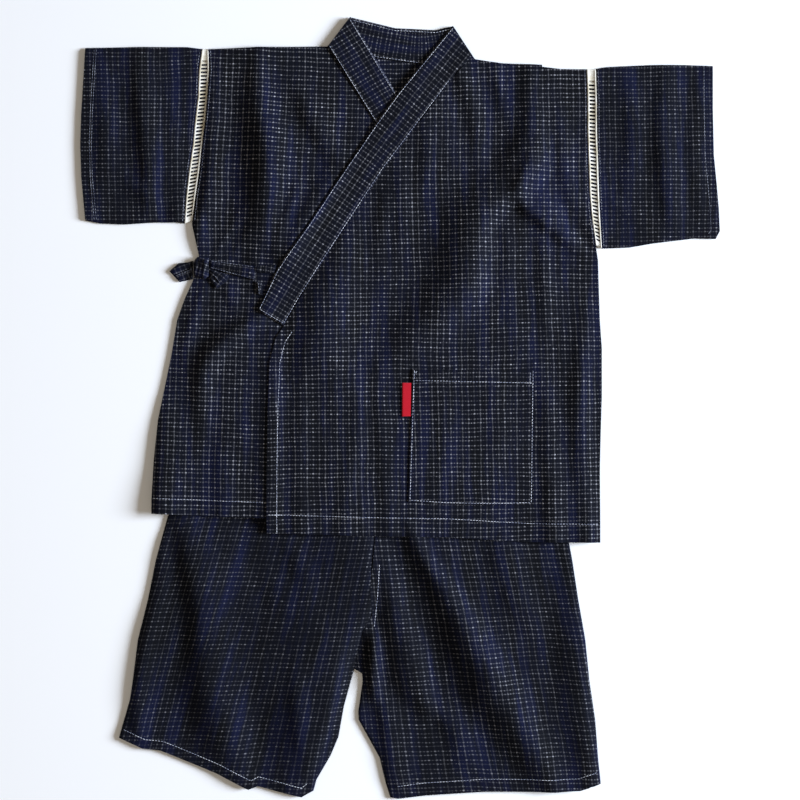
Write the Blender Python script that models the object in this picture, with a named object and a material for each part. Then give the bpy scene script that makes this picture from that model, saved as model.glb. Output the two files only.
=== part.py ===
"""A child's jinbei set, size 110: a wrap jacket laid flat over the top of its shorts.

Frame: +X to the right of someone who looks down at the front, +Y towards the collar, +Z up. The origin is
on the table, under the middle of the whole set. Right and left in names are the wearer's, so *_right is at
-X. Tables are in millimetres, and meshes in metres.

Every panel is a wall of cloth between two surfaces on one plan grid that all the panels share. A panel's
underside lies one gap above the highest panel it rests on, and its own folds are added to that. Because the
grid is shared, stacked panels bend at the same lines and never cross. A Boolean then trims the wall to the
panel's cut outline, and a second one opens the inside of the tubes: sleeves, lace, legs and waistband.
"""

from dataclasses import dataclass

import bpy
import numpy as np

# ---- driving dimensions, mm ----
CLOTH = 1.0  # wall of a single cloth
BAND = 2.2  # collar band and ties, folded double and pressed
LABEL = 1.2  # folded ribbon
KNOT = 5.0
SEAM = 0.3  # clearance between pieces, at seams and between layers
INSIDE = 0.5  # clearance between the two layers of a flat tube
EDGE_WALL = 2.0  # cloth left at the folded edge of a tube
GRID = 25.0  # plan grid pitch
GRID_START = (-333.7, -403.9)  # keeps grid lines off the cut corners
GRID_COUNT = (28, 33)
REACH = 8.0  # how far a tube's inside runs out of its open end
COLLAR_WIDTH = 33.0
COLLAR_DROP = (-24.0, 284.0)  # where the under collar goes below the top one
CROTCH = (-46.0, -260.7)
WAIST_SEAM = -66.0
BAND_TOP = -34.0
WAIST_HALF = 125.0  # relaxed elastic waist, half its flat width
WAIST_CENTRE = -32.0

HALF_SEAM = SEAM / 2

# ---- edges that two pieces share: x, y ----
ARMHOLE_RIGHT = [(-192, 359), (-191, 338), (-193, 311), (-195, 287), (-198, 264), (-201, 237), (-205, 211),
                 (-207.5, 188)]
ARMHOLE_LEFT = [(187, 339), (188, 307), (188, 276), (189, 245.5), (190, 215), (192, 192), (196, 163)]
LACE_OUTER_RIGHT = [(-198, 359), (-201, 338), (-202, 311), (-205, 287), (-207, 264), (-211, 237),
                    (-214, 211), (-215.5, 185)]
LACE_OUTER_LEFT = [(196, 339), (197, 307), (197, 276), (198, 245.5), (199, 215), (200, 192), (202, 160)]
COLLAR_SEAM_LEFT = [(72, 353), (51, 328), (26, 295), (-17, 238), (-80, 142), (-99, 112), (-116, 82.5)]
COLLAR_SEAM_RIGHT = [(-72, 362), COLLAR_DROP, (95, 92)]
NECK_SEAM = [(-72, 362), (-22, 350), (21.5, 344), (72, 353)]
CENTRE_SEAM = [(-32, WAIST_SEAM), (-25, -130), (-30, -184), (-28, -207), (-37.5, -222), (-43, -245), CROTCH]

# ---- free edges: x, y ----
SIDE_RIGHT = [(-208, 184), (-201, 152), (-207, 128), (-216, 108), (-223, 88), (-229, 52), (-238, 8),
              (-242, -12), (-246, -52), (-248, -92), (-248, -105.5)]
SIDE_LEFT = [(196, 161), (198, 148), (199, 120), (200, 88), (202, 60), (202, 10), (201, -20), (200, -60),
             (200, -134.5)]
HEM_LEFT = [(129, -134), (46, -129), (-20, -128), (-133, -125)]
FRONT_EDGE_LEFT = [(-133, -68), (-132, 1), (-130, 47), (-124, 70)]
SHOULDER_RIGHT = [(-142, 361), (-192, 359)]
SHOULDER_LEFT = [(187, 339), (161, 339), (142, 341), (142, 343), (100, 345), (75, 349)]
SLEEVE_TOP_RIGHT = [(-315, 360), (-260, 361), (-213, 361), (-198, 359)]
SLEEVE_FOLD_RIGHT = [(-315, 188), (-300, 185), (-277, 184), (-246, 186), (-222, 186), (-215.5, 185)]
SLEEVE_TOP_LEFT = [(313, 342), (284, 343), (253, 343), (207, 341), (196, 339)]
SLEEVE_FOLD_LEFT = [(316, 169.5), (294, 170), (253, 165), (230, 161), (202, 160)]
CUFF_RIGHT = [(-319, 231), (-320, 264), (-319, 295)]
CUFF_LEFT = [(320, 177), (319, 200), (317, 223), (314, 253), (313, 299)]
LEG_SIDE_RIGHT = [(-157, WAIST_SEAM), (-178, -74), (-208, -88), (-232, -108), (-244, -152), (-252, -192),
                  (-262, -232), (-267, -272), (-270, -292), (-281, -330)]
LEG_SIDE_LEFT = [(93, WAIST_SEAM), (120, -76), (150, -98), (166, -120), (172, -152), (178, -192),
                 (185, -232), (189, -272), (195, -312), (198, -352), (200.6, -376)]
LEG_HEM_RIGHT = [(-281, -330), (-257.5, -340.7), (-240, -342.6), (-183, -365.6), (-152, -381.8),
                 (-142, -378.4), (-125.5, -382.8), (-98.7, -389.5), (-87, -383)]
LEG_HEM_LEFT = [(200.6, -376), (180, -383), (155, -384), (84, -384), (26.5, -387.6), (-2, -391),
                (-9.4, -389.5)]
INNER_LEG_RIGHT = [CROTCH, (-56.6, -298.6), (-62, -329), (-70, -348), (-84, -372), (-87, -383)]
INNER_LEG_LEFT = [CROTCH, (-37.5, -266), (-37, -274), (-41.4, -304), (-41, -312), (-20, -350), (-14, -375),
                  (-9.4, -389.5)]

# ---- folds: start x, y, end x, y, height, half width ----
FRONT_RIGHT_FOLDS = [
    (-142, 365, -126, 274, 2.5, 34),
    (-126, 274, -119, 150, 4.0, 34),
    (-141, 92, -190, 30, 3.0, 36),
    (-225, -20, -232, -105, 2.0, 32),
    (-160, 10, -165, -110, 2.0, 36),
]
FRONT_LEFT_FOLDS = [
    (142, 345, 121, 212, 4.0, 34),
    (121, 212, 196, 161, 3.0, 32),
    (40, 290, 60, 130, 2.0, 40),
    (-60, 90, -62, -128, 2.0, 38),
    (165, 20, 168, -134, 2.0, 36),
    (40, 100, 40, 60, 1.5, 40),
]
SLEEVE_RIGHT_FOLDS = [(-262, 352, -268, 195, 1.8, 36)]
SLEEVE_LEFT_FOLDS = [(262, 330, 268, 178, 1.8, 36)]
LEG_RIGHT_FOLDS = [(-183, -150, -166, -320, 3.2, 40), (-232, -200, -252, -320, 2.0, 34)]
LEG_LEFT_FOLDS = [
    (23, -138, 84, -245, 3.2, 34),
    (84, -245, 160, -372, 3.0, 34),
    (150, -160, 178, -360, 1.5, 36),
]

# ---- cloths: red, green, blue, roughness ----
CLOTHS = {
    "navy_cotton": (0.016, 0.018, 0.030, 0.9),
    "collar_cotton": (0.020, 0.022, 0.036, 0.9),
    "cream_cotton": (0.78, 0.74, 0.66, 0.85),
    "red_ribbon": (0.58, 0.02, 0.03, 0.7),
}


@dataclass
class Piece:
    """One cut piece: its plan outline, its wall and what it lies on."""

    name: str
    outline: list
    rests_on: tuple = ()
    thickness: float = CLOTH
    folds: tuple = ()
    inside: list = None  # plan outline of a tube's inside
    cloth: str = "navy_cotton"


def moved(points, dx=0.0, dy=0.0):
    return [(x + dx, y + dy) for x, y in points]


def run_out(points):
    """The same edge, made longer by REACH at both ends."""
    ends = []
    for tip, before in ((points[0], points[1]), (points[-1], points[-2])):
        way = np.subtract(tip, before)
        ends.append(tuple(np.add(tip, way * REACH / np.hypot(*way))))
    return [ends[0]] + points[1:-1] + [ends[1]]


def beside(start, end, width):
    """The two corners one width to the left of the run from start to end."""
    way = np.subtract(end, start)
    across = np.array((-way[1], way[0])) * width / np.hypot(*way)
    return [tuple(np.add(end, across)), tuple(np.add(start, across))]


def body_outline(hem_rise):
    """The whole body laid out flat, which the back panel fills."""
    side_end = (SIDE_LEFT[-1][0], SIDE_LEFT[-1][1] + hem_rise)
    left = moved(ARMHOLE_LEFT, -HALF_SEAM) + SIDE_LEFT[:-1] + [side_end]
    hem = [(0, -128 + hem_rise), (-133, -110 + hem_rise)]
    right = SIDE_RIGHT[::-1][1:] + moved(ARMHOLE_RIGHT[::-1], HALF_SEAM)
    neck = moved([(-142, 361)] + NECK_SEAM, 0, -SEAM)
    return left + hem + right + neck + SHOULDER_LEFT[::-1][:-1]


def tube_inside(edge, other, along_x):
    """The inside of a flat tube between two folded edges, running out of both of its open ends."""
    step = (EDGE_WALL, 0) if along_x else (0, EDGE_WALL)
    return moved(run_out(edge), *step) + moved(run_out(other)[::-1], -step[0], -step[1])


def jacket():
    under_end = beside(COLLAR_SEAM_RIGHT[1], COLLAR_SEAM_RIGHT[2], COLLAR_WIDTH)[0]
    body = ("leg_right", "leg_left", "waistband", "back")
    under = body + ("collar_neck", "front_right", "collar_right")
    front_right = (moved(COLLAR_SEAM_RIGHT, -HALF_SEAM, -HALF_SEAM) + [(88, 40), (85, -119), (-132, -110)]
                   + SIDE_RIGHT[::-1] + moved(ARMHOLE_RIGHT[::-1], HALF_SEAM) + [(-142, 361)])
    front_left = (moved(COLLAR_SEAM_LEFT, HALF_SEAM, -HALF_SEAM) + FRONT_EDGE_LEFT[::-1] + HEM_LEFT[::-1]
                  + SIDE_LEFT[::-1] + moved(ARMHOLE_LEFT[::-1], -HALF_SEAM) + SHOULDER_LEFT[1:])
    collar_left = COLLAR_SEAM_LEFT + [(-142, 98), (-123, 138), (-91, 183), (-58.5, 233), COLLAR_DROP,
                                      (-3, 313), (53, 382)]
    collar_right = COLLAR_SEAM_RIGHT + [under_end, (-3, 313), (-50, 391)]
    collar_neck = NECK_SEAM + [(53, 382), (36, 378), (-5, 380), (-50, 391)]
    return [
        Piece("back", body_outline(3.0), ("leg_right", "leg_left", "waistband")),
        Piece("collar_neck", collar_neck, (), BAND, cloth="collar_cotton"),
        Piece("front_right", front_right, body, folds=FRONT_RIGHT_FOLDS),
        Piece("collar_right", collar_right, body + ("collar_neck",), BAND, cloth="collar_cotton"),
        Piece("front_left", front_left, under, folds=FRONT_LEFT_FOLDS),
        Piece("collar_left", collar_left, under, BAND, cloth="collar_cotton"),
    ]


def sleeve(side, top, fold, cuff, lace_outer, armhole, folds):
    """A sleeve and the lace band between it and the body, each a flat tube open at both ends."""
    out = -1 if side == "right" else 1
    inner_end = moved(lace_outer, out * HALF_SEAM)
    outline = top[:-1] + inner_end + fold[:-1][::-1] + cuff
    band = moved(lace_outer, -out * HALF_SEAM) + moved(armhole[::-1], out * HALF_SEAM)
    band_top = [lace_outer[0], armhole[0]]
    band_fold = [lace_outer[-1], armhole[-1]]
    tube = 2 * CLOTH + INSIDE
    return [
        Piece(f"sleeve_{side}", outline, (), tube, folds, tube_inside(fold, top, False)),
        Piece(f"lace_{side}", band, (), tube, (), tube_inside(band_fold, band_top, False), "cream_cotton"),
    ]


def shorts():
    tube = 2 * CLOTH + INSIDE
    legs = []
    for side, out, edge, hem, inner, folds in (
        ("right", -1, LEG_SIDE_RIGHT, LEG_HEM_RIGHT, INNER_LEG_RIGHT, LEG_RIGHT_FOLDS),
        ("left", 1, LEG_SIDE_LEFT, LEG_HEM_LEFT, INNER_LEG_LEFT, LEG_LEFT_FOLDS),
    ):
        centre = moved(CENTRE_SEAM[:-1], out * HALF_SEAM)
        crotch = moved(inner[:1], out * HALF_SEAM)
        outline = (moved(edge[:1], 0, -HALF_SEAM) + edge[1:-1] + hem
                   + inner[1:-1][::-1] + crotch + centre[::-1])
        outline[-1] = (outline[-1][0], WAIST_SEAM - HALF_SEAM)
        inside = (moved(run_out(edge), -out * EDGE_WALL) + moved(run_out(inner)[::-1][:-1], out * EDGE_WALL)
                  + moved(crotch, out * EDGE_WALL, 2 * EDGE_WALL)
                  + moved(run_out(CENTRE_SEAM[:-1])[::-1], -out * REACH))
        legs.append(Piece(f"leg_{side}", outline, (), tube, folds, inside))
    low, high = WAIST_CENTRE - WAIST_HALF, WAIST_CENTRE + WAIST_HALF
    seam, top = WAIST_SEAM + HALF_SEAM, BAND_TOP
    casing = [(low, seam), (high, seam), (high, top), (low, top)]
    casing_inside = [(low + EDGE_WALL, seam - REACH), (high - EDGE_WALL, seam - REACH),
                     (high - EDGE_WALL, top + REACH), (low + EDGE_WALL, top + REACH)]
    return legs + [Piece("waistband", casing, (), tube, (), casing_inside)]


def trims():
    left_front = ("leg_right", "leg_left", "waistband", "back", "front_right", "collar_right", "front_left")
    right_front = left_front[:5]
    pocket = [(13, 39), (134, 37.5), (132, -96), (86, -97), (46, -96), (8.5, -93.5)]
    label = [(2.5, 25), (11.2, 24.8), (10.6, -8), (2.2, -8.2)]
    band = [(-190.5, 148), (-146, 142), (-123.4, 143), (-125.5, 134.5), (-144, 135.5), (-145, 127.5),
            (-190.5, 139.5)]
    knot = [(-191, 150), (-191, 132), (-195, 129), (-206, 131), (-207, 146), (-203, 151)]
    loop = [(-207.4, 147.5), (-212, 146), (-222, 145), (-231, 137), (-221, 126), (-207, 129)]
    petal = [(-190.5, 138.9), (-171, 133), (-173, 127), (-184, 119), (-190.5, 128)]
    tail = [(-144.4, 126.9), (-138, 125.4), (-137.5, 113), (-143.5, 114)]
    return [
        Piece("pocket", pocket, left_front),
        Piece("tab_label", label, left_front, LABEL, cloth="red_ribbon"),
        Piece("tie_band", band, right_front, BAND),
        Piece("tie_knot", knot, right_front, KNOT),
        Piece("tie_loop", loop, right_front, BAND),
        Piece("tie_petal", petal, right_front, BAND),
        Piece("tie_tail", tail, right_front, BAND),
    ]


# ---- the shared plan grid ----
GRID_X = GRID_START[0] + GRID * np.arange(GRID_COUNT[0] + 1)
GRID_Y = GRID_START[1] + GRID * np.arange(GRID_COUNT[1] + 1)
NODE_X, NODE_Y = np.meshgrid(GRID_X, GRID_Y, indexing="ij")


def inside_outline(outline, x, y):
    """Whether each point lies within a closed plan outline."""
    found = np.zeros(np.shape(x), bool)
    for (x0, y0), (x1, y1) in zip(outline, outline[1:] + outline[:1]):
        if y0 != y1:
            crosses = ((y0 > y) != (y1 > y)) & (x < x0 + (y - y0) * (x1 - x0) / (y1 - y0))
            found ^= crosses
    return found


def cells_under(outline):
    """Which grid cells an outline reaches, from points a millimetre apart along it and cell centres."""
    cells = inside_outline(outline, NODE_X[:-1, :-1] + GRID / 2, NODE_Y[:-1, :-1] + GRID / 2)
    for start, end in zip(outline, outline[1:] + outline[:1]):
        steps = int(np.hypot(*np.subtract(end, start))) + 2
        for part in np.linspace(0, 1, steps):
            x, y = np.add(start, part * np.subtract(end, start))
            cells[int((x - GRID_START[0]) // GRID), int((y - GRID_START[1]) // GRID)] = True
    return cells


def corners_of(cells):
    """The grid nodes round a set of cells."""
    nodes = np.zeros(NODE_X.shape, bool)
    for di in (0, 1):
        for dj in (0, 1):
            nodes[di:di + cells.shape[0], dj:dj + cells.shape[1]] |= cells
    return nodes


def fold_height(folds):
    """A smooth ridge along each row of a fold table, summed over the grid nodes."""
    height = np.zeros(NODE_X.shape)
    for x0, y0, x1, y1, rise, half_width in folds:
        length = np.hypot(x1 - x0, y1 - y0)
        along = ((NODE_X - x0) * (x1 - x0) + (NODE_Y - y0) * (y1 - y0)) / length
        past = along - np.clip(along, 0, length)
        across = ((NODE_X - x0) * (y1 - y0) - (NODE_Y - y0) * (x1 - x0)) / length
        reach = np.clip(np.hypot(across, past) / half_width, 0, 1)
        height = np.maximum(height, rise * np.cos(np.pi / 2 * reach) ** 2)
    return height


def link(name, vertices, faces, guide):
    """A mesh object in metres. A guide only cuts, and isn't part of the set."""
    mesh = bpy.data.meshes.new(name)
    mesh.from_pydata([(x / 1000, y / 1000, z / 1000) for x, y, z in vertices], [], faces)
    made = bpy.data.objects.new(name, mesh)
    bpy.context.scene.collection.objects.link(made)
    if guide:
        made.hide_render = True
        made.display_type = "WIRE"
    return made


def wall(name, cells, low, high, guide=False):
    """The closed wall between two heights over a set of grid cells."""
    number, vertices = {}, []
    for level, heights in enumerate((low, high)):
        for i, j in zip(*np.nonzero(corners_of(cells))):
            number[i, j, level] = len(vertices)
            vertices.append((GRID_X[i], GRID_Y[j], heights[i, j]))
    faces = []
    for i, j in zip(*np.nonzero(cells)):
        a, b, c, d = (i, j), (i + 1, j), (i + 1, j + 1), (i, j + 1)
        for one, two, three in ((a, b, c), (a, c, d)):
            faces.append([number[one + (1,)], number[two + (1,)], number[three + (1,)]])
            faces.append([number[three + (0,)], number[two + (0,)], number[one + (0,)]])
        for start, end, di, dj in ((a, b, 0, -1), (b, c, 1, 0), (c, d, 0, 1), (d, a, -1, 0)):
            if not cells[i + di, j + dj]:
                foot = [number[start + (0,)], number[end + (0,)]]
                faces.append(foot + [number[end + (1,)], number[start + (1,)]])
    return link(name, vertices, faces, guide)


def prism(name, outline, low=-10.0, high=60.0):
    """An outline stood up as a solid, which trims a wall to its cut shape."""
    area = sum(x0 * y1 - x1 * y0 for (x0, y0), (x1, y1) in zip(outline, outline[1:] + outline[:1]))
    ring = outline if area > 0 else outline[::-1]
    count = len(ring)
    vertices = [(x, y, low) for x, y in ring] + [(x, y, high) for x, y in ring]
    sides = [[k, (k + 1) % count, count + (k + 1) % count, count + k] for k in range(count)]
    faces = sides + [list(range(count))[::-1], list(range(count, 2 * count))]
    return link(name, vertices, faces, guide=True)


def cut(target, operation, cutter):
    change = target.modifiers.new(cutter.name, "BOOLEAN")
    change.operation = operation
    change.solver = "EXACT"
    change.object = cutter


def material(name):
    red, green, blue, rough = CLOTHS[name]
    made = bpy.data.materials.get(name) or bpy.data.materials.new(name)
    made.use_nodes = True
    shader = made.node_tree.nodes["Principled BSDF"]
    shader.inputs["Base Color"].default_value = (red, green, blue, 1)
    shader.inputs["Roughness"].default_value = rough
    shader.inputs["Metallic"].default_value = 0.0
    return made


def lay(piece, laid):
    """Lays one piece on those below it, and remembers where its top and its reach are."""
    cells = cells_under(piece.outline)
    low = np.zeros(NODE_X.shape)
    for name in piece.rests_on:
        nodes, top = laid[name]
        low = np.where(nodes, np.maximum(low, top + SEAM), low)
    rise = fold_height(piece.folds)
    if piece.inside is None:
        low = low + rise
        high = low + piece.thickness
    else:
        high = low + piece.thickness + rise
    made = wall(piece.name, cells, low, high)
    cut(made, "INTERSECT", prism(f"{piece.name}_outline", piece.outline))
    if piece.inside is not None:
        reached = cells_under(piece.inside)
        space = wall(f"{piece.name}_space", reached, low + CLOTH, high - CLOTH, guide=True)
        cut(space, "INTERSECT", prism(f"{piece.name}_inside", piece.inside))
        cut(made, "DIFFERENCE", space)
    made.data.materials.append(material(piece.cloth))
    laid[piece.name] = (corners_of(cells), high)


def main():
    for old in list(bpy.data.objects):
        bpy.data.objects.remove(old, do_unlink=True)
    laid = {}
    right = sleeve("right", SLEEVE_TOP_RIGHT, SLEEVE_FOLD_RIGHT, CUFF_RIGHT, LACE_OUTER_RIGHT,
                   ARMHOLE_RIGHT, SLEEVE_RIGHT_FOLDS)
    left = sleeve("left", SLEEVE_TOP_LEFT, SLEEVE_FOLD_LEFT, CUFF_LEFT, LACE_OUTER_LEFT,
                  ARMHOLE_LEFT, SLEEVE_LEFT_FOLDS)
    for piece in shorts() + right + left + jacket() + trims():
        lay(piece, laid)


main()
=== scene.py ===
"""The looks of a child's jinbei set, laid flat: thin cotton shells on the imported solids, their creases,
ladder lace, topstitching, the blank tab, and the woven materials. Tables are in millimetres."""

import math

import bpy
import numpy as np
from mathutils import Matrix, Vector
from mathutils.bvhtree import BVHTree
from mathutils.geometry import delaunay_2d_cdt


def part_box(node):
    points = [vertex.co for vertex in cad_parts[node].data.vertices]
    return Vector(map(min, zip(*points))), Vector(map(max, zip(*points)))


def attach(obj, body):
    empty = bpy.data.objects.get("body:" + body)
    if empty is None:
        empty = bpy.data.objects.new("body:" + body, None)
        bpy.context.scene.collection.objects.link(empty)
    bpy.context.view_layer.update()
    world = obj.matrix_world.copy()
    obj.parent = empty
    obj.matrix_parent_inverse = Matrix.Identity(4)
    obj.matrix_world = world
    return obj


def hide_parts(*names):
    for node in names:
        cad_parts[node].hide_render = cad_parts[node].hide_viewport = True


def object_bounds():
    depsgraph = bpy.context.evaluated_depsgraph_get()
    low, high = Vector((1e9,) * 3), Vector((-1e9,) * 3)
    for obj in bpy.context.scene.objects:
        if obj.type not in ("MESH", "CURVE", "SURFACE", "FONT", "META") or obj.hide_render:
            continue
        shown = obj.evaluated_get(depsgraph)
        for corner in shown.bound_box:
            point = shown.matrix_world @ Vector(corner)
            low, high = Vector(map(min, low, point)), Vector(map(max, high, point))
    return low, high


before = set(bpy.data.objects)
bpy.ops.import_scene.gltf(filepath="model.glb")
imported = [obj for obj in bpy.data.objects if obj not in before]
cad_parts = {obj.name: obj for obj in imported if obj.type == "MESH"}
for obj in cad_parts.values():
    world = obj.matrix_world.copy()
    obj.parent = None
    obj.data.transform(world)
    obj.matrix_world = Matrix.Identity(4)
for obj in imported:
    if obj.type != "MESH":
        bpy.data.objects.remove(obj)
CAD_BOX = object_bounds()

MM = 0.001
CLOTH = 0.8  # one layer of the dobby cotton, a little under the solid's wall
LAYER_GAP = 0.35  # between layers that lie on each other
RIBBON = 0.5
LACE = 0.7
SPACING = 3.0  # between the points of a panel
FINE = 1.3  # and of a small piece
FOLD_RADIUS = 2.2  # of the turned edge of a tube
PITCH = 2.5  # of the height lattice
RELIEF = 1.3  # how much higher than its table each crease stands
PANEL_BLUR = 7.0  # how far the steps in a solid's top are smoothed
SMALL_BLUR = 3.0  # and on a small piece, or where a piece comes up over a lower one
EDGE_CALM = 12.0  # the unevenness dies away over this much towards an edge
ON_EDGE = 0.001

bpy.ops.object.select_all(action="DESELECT")

# ---------------------------------------------------------------- the height lattice
low_box, high_box = (np.array(c) / MM for c in CAD_BOX)
LINE_X = np.arange(low_box[0] - 20, high_box[0] + 20, PITCH)
LINE_Y = np.arange(low_box[1] - 20, high_box[1] + 20, PITCH)
GRID_X, GRID_Y = np.meshgrid(LINE_X, LINE_Y, indexing="ij")


def at_nodes(field, i, j, ease=lambda t: t):
    """A lattice field at places given in steps of the lattice, mixed from the four nodes round each."""
    i0, j0 = i.astype(int), j.astype(int)
    u, v = ease(i - i0), ease(j - j0)
    return ((1 - u) * (1 - v) * field[i0, j0] + u * (1 - v) * field[i0 + 1, j0]
            + (1 - u) * v * field[i0, j0 + 1] + u * v * field[i0 + 1, j0 + 1])


def read(field, x, y):
    """A lattice field between its nodes."""
    i = np.clip((np.asarray(x) - LINE_X[0]) / PITCH, 0, len(LINE_X) - 1.001)
    j = np.clip((np.asarray(y) - LINE_Y[0]) / PITCH, 0, len(LINE_Y) - 1.001)
    return at_nodes(field, i, j)


def blur(field, sigma):
    """A Gaussian blur, sigma in mm."""
    reach = int(3 * sigma / PITCH) + 1
    weights = np.exp(-0.5 * (np.arange(-reach, reach + 1) * PITCH / sigma) ** 2)
    weights /= weights.sum()
    for axis in (0, 1):
        pad = [(reach, reach) if k == axis else (0, 0) for k in (0, 1)]
        wide = np.pad(field, pad, mode="edge")
        total = np.zeros(field.shape)
        for k, weight in enumerate(weights):
            total += weight * np.take(wide, np.arange(k, k + field.shape[axis]), axis=axis)
        field = total
    return field


def blur_within(field, mask, sigma):
    """The same, of only the part that a piece covers."""
    return blur(np.where(mask, field, 0.0), sigma) / np.maximum(blur(mask.astype(float), sigma), 1e-4)


def rumple(seed, size, height, stretch=1.0):
    """Soft random unevenness: size is the distance between bumps in mm, stretched along Y."""
    draw = np.random.default_rng(seed)
    nx = int((LINE_X[-1] - LINE_X[0]) / size) + 4
    ny = int((LINE_Y[-1] - LINE_Y[0]) / (size * stretch)) + 4
    knots = draw.uniform(-1, 1, (nx, ny))
    i = (GRID_X - LINE_X[0]) / size
    j = (GRID_Y - LINE_Y[0]) / (size * stretch)
    return height * at_nodes(knots, i, j, lambda t: t * t * (3 - 2 * t))


def travelled(path):
    """How far along a path each of its points is."""
    return np.concatenate([[0], np.cumsum(np.hypot(*np.diff(path[:, :2], axis=0).T))])


def on_path(path, at, where):
    """The places on a path at distances along it."""
    return np.stack([np.interp(where, at, path[:, k]) for k in (0, 1)], axis=-1)


def rounded(distance, radius):
    """How far a rounded edge has opened at a distance from it: 0 on the edge, 1 from the radius on."""
    return np.sqrt(np.clip(1 - (1 - np.clip(distance / radius, 0, 1)) ** 2, 0, 1))


def crease(rows):
    """A ridge (or with a negative height a trough) along a smooth line through its rows."""
    rows = np.array(rows, float)
    at = travelled(rows)
    dense = np.arange(0, at[-1] + 2, 2.0)
    line = np.stack([smooth_between(at, rows[:, k], dense) for k in range(5)], axis=1)
    reach = rows[:, 3:].max() * 1.05
    window = ((GRID_X > line[:, 0].min() - reach) & (GRID_X < line[:, 0].max() + reach)
              & (GRID_Y > line[:, 1].min() - reach) & (GRID_Y < line[:, 1].max() + reach))
    px, py = GRID_X[window], GRID_Y[window]
    gap = (px[:, None] - line[None, :, 0]) ** 2 + (py[:, None] - line[None, :, 1]) ** 2
    near = gap.argmin(axis=1)
    way = np.gradient(line[:, :2], axis=0)[near]
    side = way[:, 0] * (py - line[near, 1]) - way[:, 1] * (px - line[near, 0])
    width = np.where(side > 0, line[near, 4], line[near, 3])
    share = np.clip(np.sqrt(gap.min(axis=1)) / np.maximum(width, 0.5), 0, 1)
    field = np.zeros(GRID_X.shape)
    field[window] = line[near, 2] * np.cos(np.pi / 2 * share) ** 2
    return field


def smooth_between(at, values, where):
    """Values between table rows with no corners at the rows."""
    if len(at) > 2:
        slope = np.gradient(values, at)
    else:
        slope = np.full(len(at), (values[-1] - values[0]) / (at[-1] - at[0]))
    k = np.clip(np.searchsorted(at, where, side="right") - 1, 0, len(at) - 2)
    span = at[k + 1] - at[k]
    t = np.clip((where - at[k]) / span, 0, 1)
    return ((2 * t**3 - 3 * t**2 + 1) * values[k] + (t**3 - 2 * t**2 + t) * span * slope[k]
            + (3 * t**2 - 2 * t**3) * values[k + 1] + (t**3 - t**2) * span * slope[k + 1])


# ---------------------------------------------------------------- what the solids say
def triangles_of(node):
    """A CAD node's points, welded, in mm, and its triangles."""
    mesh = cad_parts[node].data
    mesh.calc_loop_triangles()
    points = np.zeros(len(mesh.vertices) * 3, np.float32)
    mesh.vertices.foreach_get("co", points)
    points = np.round(points.reshape(-1, 3).astype(float) / MM, 3)
    faces = np.zeros(len(mesh.loop_triangles) * 3, np.int32)
    mesh.loop_triangles.foreach_get("vertices", faces)
    welded, number = np.unique(points, axis=0, return_inverse=True)
    faces = number.reshape(-1)[faces].reshape(-1, 3)
    keep = (faces[:, 0] != faces[:, 1]) & (faces[:, 1] != faces[:, 2]) & (faces[:, 2] != faces[:, 0])
    return welded, faces[keep]


def area_of(ring):
    x, y = np.array(ring).T
    return 0.5 * float(np.sum(x * np.roll(y, -1) - np.roll(x, -1) * y))


def outline_of(node):
    """The plan outline of a node's top, anticlockwise: the rim where its top meets its edge wall."""
    points, faces = triangles_of(node)
    corners = points[faces]
    normals = np.cross(corners[:, 1] - corners[:, 0], corners[:, 2] - corners[:, 0])
    up = normals[:, 2] / np.maximum(np.linalg.norm(normals, axis=1), 1e-9)
    owner = {}
    for face, lift in zip(faces, up):
        for a, b in ((face[0], face[1]), (face[1], face[2]), (face[2], face[0])):
            owner[int(a), int(b)] = lift
    after = {}
    for (a, b), lift in owner.items():
        if lift > 0.2 and owner.get((b, a), 1.0) < 0.2:
            after.setdefault(a, []).append(b)
    rings = []
    while after:
        start = next(iter(after))
        ring = [start]
        while True:
            options = after.get(ring[-1])
            if not options:
                break
            step = options.pop()
            if not options:
                del after[ring[-1]]
            if step == start:
                break
            ring.append(step)
        rings.append(points[ring])
    best = max(rings, key=lambda r: area_of(r[:, :2]) if len(r) > 2 else 0)
    return simplified(best[:, :2])


def simplified(ring):
    """The ring without the points that lie on a straight run."""
    kept = []
    for k in range(len(ring)):
        before, here, after = ring[k - 1], ring[k], ring[(k + 1) % len(ring)]
        one, two = here - before, after - here
        turn = abs(one[0] * two[1] - one[1] * two[0]) / max(np.hypot(*one) * np.hypot(*two), 1e-9)
        if turn > 0.004:
            kept.append(here)
    return np.array(kept)


def top_of(node, mask):
    """The height of a node's top over the lattice nodes in the mask."""
    points, faces = triangles_of(node)
    tree = BVHTree.FromPolygons([Vector(p) for p in points], faces.tolist())
    heights = np.zeros(GRID_X.shape)
    hit = np.zeros(GRID_X.shape, bool)
    down = Vector((0, 0, -1))
    for i, j in zip(*np.nonzero(mask)):
        place = tree.ray_cast(Vector((GRID_X[i, j], GRID_Y[i, j], 200.0)), down)[0]
        if place is not None:
            heights[i, j] = place.z
            hit[i, j] = True
    return heights, hit


def within(ring, x, y):
    found = np.zeros(np.shape(x), bool)
    for (x0, y0), (x1, y1) in zip(ring, np.roll(ring, -1, axis=0)):
        if y0 != y1:
            found ^= ((y0 > y) != (y1 > y)) & (x < x0 + (y - y0) * (x1 - x0) / (y1 - y0))
    return found


def run_distance(runs, x, y):
    best = np.full(np.shape(x), 1e9)
    for start, end in runs:
        run = end - start
        t = np.clip(((x - start[0]) * run[0] + (y - start[1]) * run[1]) / (run @ run), 0, 1)
        best = np.minimum(best, np.hypot(x - start[0] - t * run[0], y - start[1] - t * run[1]))
    return best


def edge_distance(ring, x, y):
    """How far points are from an outline."""
    return run_distance(list(zip(ring, np.roll(ring, -1, axis=0))), x, y)


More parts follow.
